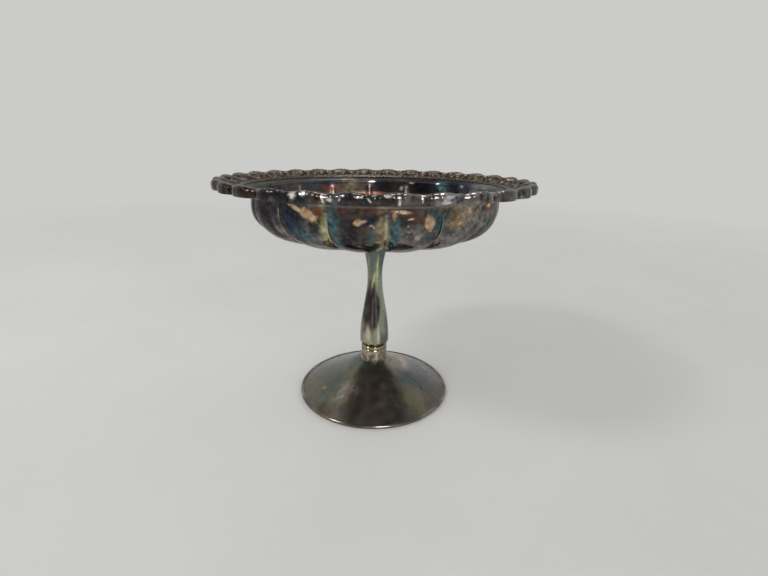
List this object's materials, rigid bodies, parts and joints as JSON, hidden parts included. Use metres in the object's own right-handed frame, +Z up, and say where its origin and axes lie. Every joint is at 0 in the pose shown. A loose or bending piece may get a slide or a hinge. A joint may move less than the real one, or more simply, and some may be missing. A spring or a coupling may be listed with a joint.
{
  "type": "footed compote bowl",
  "caption": "Round footed compote: a shallow lobed metal bowl with a scalloped ornamental rim on a slender turned stem and a cone foot with a wire edge.",
  "frame": {"origin": "centre of the foot's underside, on the plane the foot rests on", "axes": "+Z up the stem's axis; -Y toward the pictured front, with one groove of the bowl on it; +X to the right as seen from there"},
  "size_m": [0.2026, 0.2028, 0.1556],
  "materials": {
    "plated_bowl": "tarnished silver plate on copper, worn through in spots, iridescent brown, blue and gold",
    "plated_border": "tarnished silver plate, dark in the hollows and bright on the high places",
    "plated_stem": "tarnished silver plate, green and straw tints",
    "plated_foot": "tarnished silver plate, brown with blue tints, bright along the edge wire",
    "brass": "plain turned brass",
    "steel": "plain steel"
  },
  "bodies": {
    "root": {"bowl": "plated_bowl", "border_1": "plated_border", "border_2": "plated_border", "border_3": "plated_border", "border_4": "plated_border", "border_5": "plated_border", "border_6": "plated_border", "bowl_boss": "brass", "tie_rod": "steel", "stem": "plated_stem", "collar": "plated_stem", "foot": "plated_foot", "foot_wire": "plated_foot", "washer": "brass", "nut": "steel"}
  },
  "joints": []
}
